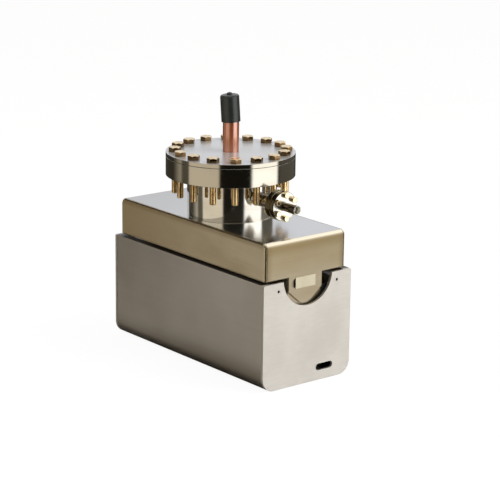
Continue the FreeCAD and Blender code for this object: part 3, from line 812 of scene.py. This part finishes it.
def port_fasteners():
    count, circle_radius, flats = 6, 13.5 * MM, 6.4 * MM
    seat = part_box("feedthrough_flange")[1].x
    tail_end, head_end = (corner.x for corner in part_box("port_bolts"))
    nut_back, nut_front = (corner.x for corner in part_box("port_nuts"))
    bolts = Build()
    nuts = Build()
    for index in range(count):
        turn = ALONG_PORT @ Matrix.Rotation(math.radians(360 / count * index), 4, "Z")
        bolt_place = turn @ Matrix.Translation((circle_radius, 0, seat)) @ any_turn()
        hex_bolt(
            bolts, bolt_place, flats, head=head_end - seat, radius=2.0 * MM,
            length=seat - tail_end, thread_length=7 * MM, pitch=0.7 * MM)
        nut_place = turn @ Matrix.Translation((circle_radius, 0, 0)) @ any_turn()
        hex_nut(nuts, nut_place, flats, nut_back, nut_front, bore=2.12 * MM)
    bolts.piece("port_bolt_set", "pump_body", "bolt_bronze", ["port_bolts"])
    nuts.piece("port_nut_set", "pump_body", "bolt_bronze", ["port_nuts"])


def plate_screws():
    """Flush screws with a hexagon socket, two in each end plate."""
    sides, from_middle = 48, 43.0 * MM
    head, shank, depth = 3.7 * MM, 2.0 * MM, 12.0 * MM
    tip, ease = 0.6 * MM, 0.05 * MM
    socket, socket_depth, drill_end = 3.1 * MM, 1.6 * MM, 2.0 * MM
    bar_low, bar_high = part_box("magnet_retainer_left")
    middle = (bar_low.z + bar_high.z) / 2
    rings = rings_of([
        (shank * 0.7, -depth), (shank, tip - depth), (shank, shank - head), (head, -ease),
        (head - ease, 0)], sides)
    for share, level in (
            (1.06, 0), (1.0, -2 * ease), (1.0, -socket_depth), (0.6, -drill_end)):
        walls = [reach * share for reach in hexagon_reach(socket, sides)]
        rings.append(ring_points(walls, level))
    outward = Matrix.Rotation(math.pi / 2, 4, "Y")
    build = Build()
    for end in (0, math.pi):
        for side in (-1, 1):
            seat = Matrix.Translation((PLATE_FACE, side * from_middle, middle))
            build.skin(rings, Matrix.Rotation(end, 4, "Z") @ seat @ outward @ any_turn())
    build.piece("plate_screw_set", "magnet_housing", "screw_steel", ["end_plate_screws"])


# Turned pieces of the neck and port
def neck_barrel():
    wall = 2.0 * MM
    low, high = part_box("neck_tube")
    outer, inner = NECK_RADIUS, NECK_RADIUS - wall
    outline = [(inner, low.z), (outer, low.z), (outer, high.z), (inner, high.z)]
    build = Build()
    turned_ring(build, outline, ease=0.2 * MM, sides=256)
    build.piece(
        "neck_barrel", "pump_body", "polished_steel", ["neck_tube"], finish=NECK_FINISH)


def port_flanges():
    for node, name, bore in (
            ("port_flange", "port_flange_disc", 6.29 * MM),
            ("feedthrough_flange", "feedthrough_disc", 4.45 * MM)):
        low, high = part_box(node)
        edge = (high.z - low.z) / 2
        outline = [(bore, low.x), (edge, low.x), (edge, high.x), (bore, high.x)]
        build = Build()
        turned_ring(build, outline, ease=0.7 * MM, sides=128, place=ALONG_PORT)
        build.piece(name, "pump_body", "polished_steel", [node], finish=PORT_DISC_FINISH)


def connector():
    """The shell with its rolled rim, and the ceramic stem and the pin inside it."""
    wall = 0.7 * MM
    low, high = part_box("connector_shell")
    outer = (high.z - low.z) / 2
    inner = outer - wall
    outline = [(inner, low.x), (outer, low.x), (outer, high.x), (inner, high.x)]
    shell = Build()
    turned_ring(shell, outline, ease=wall / 2, sides=96, place=ALONG_PORT)
    shell.piece("connector_sleeve", "pump_body", "shell_dark", ["connector_shell"])

    low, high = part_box("feedthrough_insulator")
    stem, collar, bore = 2.5 * MM, 4.4 * MM, 1.05 * MM
    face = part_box("feedthrough_flange")[1].x
    outline = [
        (bore, low.x), (collar, low.x), (collar, face), (stem, face), (stem, high.x),
        (bore, high.x)]
    insulator = Build()
    turned_ring(insulator, outline, ease=0.4 * MM, sides=64, place=ALONG_PORT)
    insulator.piece("insulator_stem", "pump_body", "alumina", ["feedthrough_insulator"])

    low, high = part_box("feedthrough_pin")
    radius, point = 1.0 * MM, 0.3 * MM
    outline = [(point, low.x), (radius, low.x), (radius, high.x - 0.5 * MM), (point, high.x)]
    pin = Build()
    pin.skin(rings_of(eased(outline, 0.3 * MM, closed=False), 32), ALONG_PORT)
    pin.piece("contact_pin", "pump_body", SLOT_OF["feedthrough_pin"], ["feedthrough_pin"])


# Copper tube and its cap. The tube bends over above the cover; its levels count from the bend
LEAN_BASE = Vector((0, 0, COVER_TOP + 34.1 * MM))
LEAN_HEADING = math.radians(-128.8)
LEAN_HINGE = Vector((-math.sin(LEAN_HEADING), math.cos(LEAN_HEADING), 0))
LEAN = math.radians(3.5)
TUBE_RADIUS = 9.525 * MM
ROUND_END, PINCH_END, TUBE_END = 7.2 * MM, 19.2 * MM, 30.1 * MM


def leaning(height, share=1.0):
    """The place of a level above the tube's bend, turned over by a share of the lean."""
    return (Matrix.Translation(LEAN_BASE) @ Matrix.Rotation(LEAN * share, 4, LEAN_HINGE)
            @ Matrix.Translation((0, 0, height)))


def pinched_tube():
    """Round and straight from the cover, bent over a little, pinched flat at the end."""
    bend_steps, pinch_steps = 8, 16
    bend_reach, half_flat = 12 * MM, 1.2 * MM
    low, straight_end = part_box("pump_out_tube")[0].z, LEAN_BASE.z - 9 * MM
    level = ring_points(circle(TUBE_RADIUS, 96), 0)

    def squeezed(half, squareness, depth=1.0):
        """A level of the tube pressed to a half thickness. Under 1, squareness fills it out."""
        return [
            Vector((
                math.copysign(abs(p.x / TUBE_RADIUS) ** squareness, p.x) * half, p.y * depth, 0))
            for p in level]

    rings = [[p + Vector((0, 0, z)) for p in level] for z in (low, straight_end)]
    for k in range(bend_steps + 1):
        share = k / bend_steps
        place = leaning((share - 0.5) * bend_reach, share)
        rings.append([place @ p for p in level])
    for k in range(pinch_steps + 1):
        share = k / pinch_steps
        squeeze = 0.5 - 0.5 * math.cos(math.pi * share)
        half = TUBE_RADIUS + (half_flat - TUBE_RADIUS) * squeeze
        place = leaning(ROUND_END + (PINCH_END - ROUND_END) * share)
        rings.append([place @ p for p in squeezed(half, 1 - 0.55 * squeeze)])
    for back, shrink in ((2.2 * MM, 1.0), (0.6 * MM, 0.95), (0.0, 0.6)):
        place = leaning(TUBE_END - back)
        end = squeezed(half_flat * shrink, 0.45, 0.9 + 0.1 * shrink)
        rings.append([place @ p for p in end])
    build = Build()
    build.skin(rings)
    build.piece("pinched_tube", "pump_body", "copper", ["pump_out_tube"], sharp=50.0)


def slip_on_cap():
    """A dipped cap: open below, domed at the shoulder, with its mould's small tail on top."""
    gap, wall, roof = 0.3 * MM, 1.275 * MM, 2.3 * MM
    inner = TUBE_RADIUS + gap
    outer = inner + wall
    bottom, ceiling = 1.2 * MM, TUBE_END + gap
    top = ceiling + roof
    nub, nub_foot, tip = 3.5 * MM, top + 0.35 * MM, top + 2.8 * MM
    shoulder, foot_spread, steps = 2.6 * MM, 0.9 * MM, 9
    open_end = [(0.2 * MM, ceiling), (inner, ceiling), (inner, bottom), (outer, bottom)]
    line = eased(open_end, 0.4 * MM, closed=False)
    for k in range(steps):
        turn = math.pi / 2 * k / (steps - 1)
        inset, drop = 1 - math.cos(turn), 1 - math.sin(turn)
        line.append(Vector((outer - shoulder * inset, top - shoulder * drop)))
    line.append(Vector((nub + foot_spread, top)))
    for k in range(steps):
        turn = math.pi / 2 * k / steps
        line.append(Vector((
            nub * math.cos(turn), nub_foot + (tip - nub_foot) * math.sin(turn))))
    build = Build()
    build.skin(rings_of(line, 96), leaning(0))
    build.piece("slip_on_cap", "tube_cap", "cap_vinyl", ["tube_cap"])


# Welds
def weld_beads():
    """Beads at the neck's foot, where the nipple meets the neck, and at the port's flange."""
    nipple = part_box("port_nipple")
    radius = (nipple[1].z - nipple[0].z) / 2
    foot = [
        Vector((NECK_RADIUS * math.cos(turn), NECK_RADIUS * math.sin(turn), BOX_TOP))
        for turn in turns(360)]
    round_nipple = [
        (radius * math.cos(turn), PORT_HEIGHT + radius * math.sin(turn)) for turn in turns(96)]
    saddle = [Vector((math.sqrt(NECK_RADIUS ** 2 - y ** 2), y, z)) for y, z in round_nipple]
    collar = [Vector((nipple[1].x, y, z)) for y, z in round_nipple]
    build = Build()
    for path, size in ((foot, 0.35 * MM), (saddle, 0.8 * MM), (collar, 0.6 * MM)):
        weld_bead(build, path, size)
    build.piece("weld_beads", "pump_body", "polished_steel")


cover_bolts()
port_fasteners()
plate_screws()
neck_barrel()
port_flanges()
connector()
pinched_tube()
slip_on_cap()
weld_beads()
